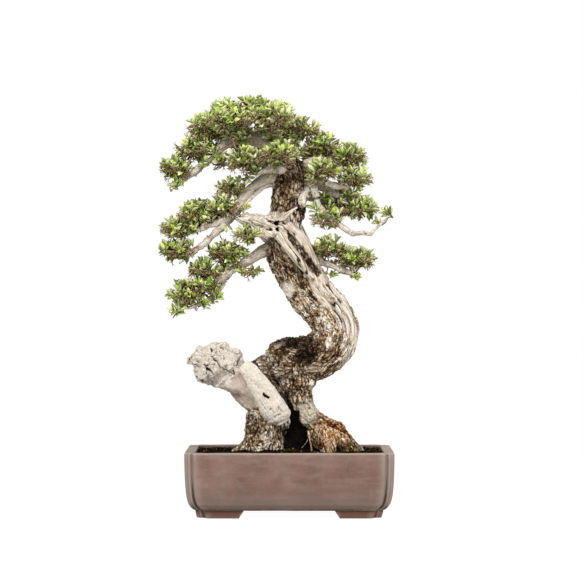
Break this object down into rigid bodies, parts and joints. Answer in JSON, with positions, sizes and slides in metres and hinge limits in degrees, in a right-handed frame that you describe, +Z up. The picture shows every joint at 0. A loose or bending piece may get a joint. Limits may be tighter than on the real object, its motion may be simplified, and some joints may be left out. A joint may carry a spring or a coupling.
{
  "type": "olive bonsai",
  "caption": "Old olive bonsai with a curved trunk, pale deadwood, a broken stump and clipped leaf pads, in an oblong clay pot with indented corners.",
  "frame": {"origin": "on the surface the pot stands on, at the middle of the whole plant's width and depth", "axes": "+Z up, +X to the right seen from the front, -Y towards the front of the pot"},
  "size_m": [0.4674, 0.296, 0.8159],
  "materials": {
    "pot": "unglazed mauve-brown clay, matt, worn paler at the rim and corners",
    "soil": "dark gritty bonsai soil with specks of moss, rough",
    "mesh": "black moulded plastic mesh",
    "tree": "rough tan to dark brown bark, with bare silver-grey deadwood",
    "leaves": "small leathery leaves, mid to yellow green, slightly glossy, on thin brown twigs"
  },
  "bodies": {
    "root": {"drain_screen_left": "mesh", "drain_screen_right": "mesh", "leaves_crown_back_left": "leaves", "leaves_crown_back_low": "leaves", "leaves_crown_back_right": "leaves", "leaves_crown_back_top": "leaves", "leaves_crown_fore": "leaves", "leaves_crown_front_left": "leaves", "leaves_crown_front_right": "leaves", "leaves_crown_left_brow": "leaves", "leaves_crown_left_fall": "leaves", "leaves_crown_left_fore": "leaves", "leaves_crown_left_sprig": "leaves", "leaves_crown_left_tip": "leaves", "leaves_crown_left_top": "leaves", "leaves_crown_ridge": "leaves", "leaves_crown_right_front": "leaves", "leaves_crown_right_tip": "leaves", "leaves_crown_rise": "leaves", "leaves_crown_shoulder": "leaves", "leaves_crown_top": "leaves", "leaves_jin_shoot": "leaves", "leaves_left_back": "leaves", "leaves_left_lower_fall": "leaves", "leaves_left_lower_mid": "leaves", "leaves_left_lower_near": "leaves", "leaves_left_lower_spray": "leaves", "leaves_left_lower_tip": "leaves", "leaves_left_upper_heel": "leaves", "leaves_left_upper_low": "leaves", "leaves_left_upper_mid": "leaves", "leaves_left_upper_near": "leaves", "leaves_left_upper_tip": "leaves", "leaves_mid_back": "leaves", "leaves_right_back": "leaves", "leaves_right_high_near": "leaves", "leaves_right_high_tip": "leaves", "leaves_right_low_near": "leaves", "leaves_right_low_tip": "leaves", "leaves_right_mid_shoot": "leaves", "leaves_right_shelf": "leaves", "leaves_right_tip_shoot": "leaves", "pot": "pot", "soil": "soil", "tree": "tree"}
  },
  "joints": []
}
